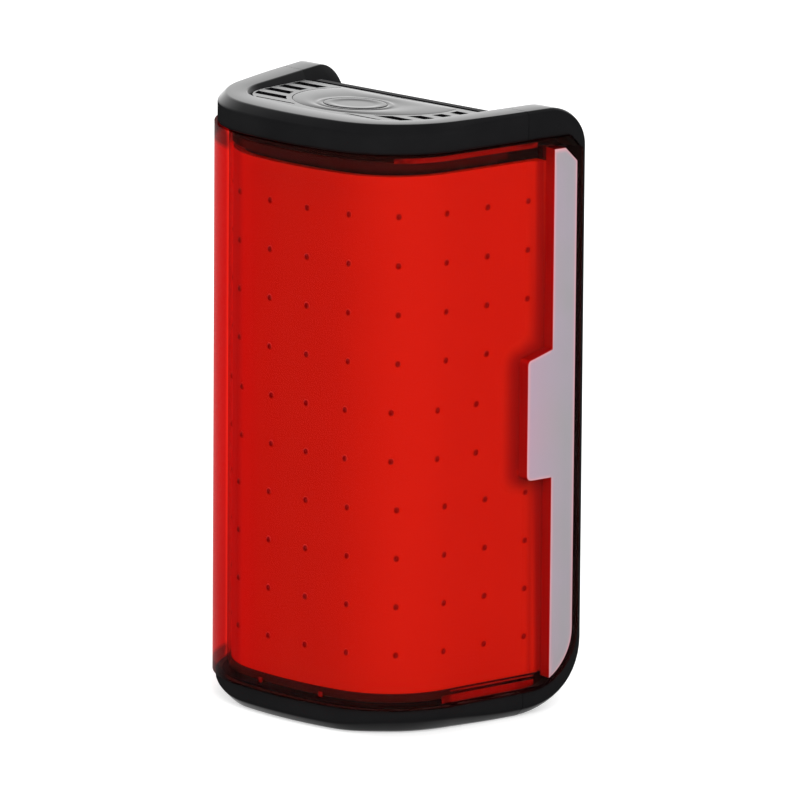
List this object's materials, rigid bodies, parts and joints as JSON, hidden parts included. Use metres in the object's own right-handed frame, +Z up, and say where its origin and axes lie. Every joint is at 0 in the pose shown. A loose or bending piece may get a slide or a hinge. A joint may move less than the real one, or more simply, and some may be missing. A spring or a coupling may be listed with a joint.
{
  "type": "bicycle tail light",
  "caption": "Compact tail light with a wrap-round red lens, dotted light panel, milky side windows, a push button on top and an open rear channel for its bracket.",
  "frame": {"origin": "middle of the light's plan, on the face it stands on", "axes": "+Z up, the lens faces -Y and the mounting side faces +Y"},
  "size_m": [0.0398, 0.0274, 0.0677],
  "materials": {
    "black_shell": "fine matte moulded grain",
    "black_plate": "fine matte moulded grain",
    "soft_black": "smooth soft-touch",
    "red_lens": "polished clear red plastic",
    "milky_window": "milky translucent plastic",
    "red_diffuser": "even bright red diffuser film",
    "led_chip": "small moulded chips",
    "red_board": "flexible printed board",
    "inner_black": "plain moulded",
    "seal_rubber": "soft seal",
    "steel_screw": "stainless",
    "brass_insert": "turned and knurled",
    "green_board": "printed board with mask",
    "chip_black": "moulded package",
    "capacitor_tan": "ceramic blocks",
    "gold_pin": "plated pins",
    "socket_steel": "drawn shell",
    "cell_wrap": "foil pouch",
    "foam_grey": "open foam",
    "lead_red": "silicone sleeve",
    "spreader_aluminium": "plain sheet"
  },
  "bodies": {
    "light": {"back_gasket": "seal_rubber", "back_plate": "black_plate", "back_screws": "steel_screw", "battery_cell": "cell_wrap", "battery_leads": "lead_red", "battery_pad": "foam_grey", "board_screws": "steel_screw", "bottom_cap": "black_shell", "button_board": "green_board", "button_pad": "soft_black", "capacitors": "capacitor_tan", "chassis": "inner_black", "controller_chip": "chip_black", "driver_inductor": "chip_black", "heat_spreader": "spreader_aluminium", "led_dots": "led_chip", "led_flex_board": "red_board", "lens_gasket_bottom": "seal_rubber", "lens_gasket_top": "seal_rubber", "light_panel": "red_diffuser", "link_pins": "gold_pin", "main_board": "green_board", "mount_inserts": "brass_insert", "outer_lens": "red_lens", "port_cover_anchor": "soft_black", "rear_shell": "black_shell", "side_guide_left": "milky_window", "side_guide_right": "milky_window", "side_led_board_left": "green_board", "side_led_board_right": "green_board", "side_leds": "led_chip", "side_window_left": "milky_window", "side_window_right": "milky_window", "tact_switch": "chip_black", "top_cap": "black_shell", "usb_socket": "socket_steel", "usb_tongue": "chip_black"},
    "button": {"button_cap": "soft_black", "tact_plunger": "chip_black"},
    "port_flap": {"port_cover": "soft_black"}
  },
  "joints": [
    {"name": "button_press", "type": "slide", "parent": "light", "child": "button", "axis": [0, -0.0555, -0.9985], "range_m": [0, 0.0004], "stiffness_N_per_m": 4000},
    {"name": "port_cover_hinge", "type": "hinge", "parent": "light", "child": "port_flap", "pos_m": [0.0068, 0.00147, 0.00044], "axis": [0, -1, 0], "range_deg": [0, 90]}
  ]
}
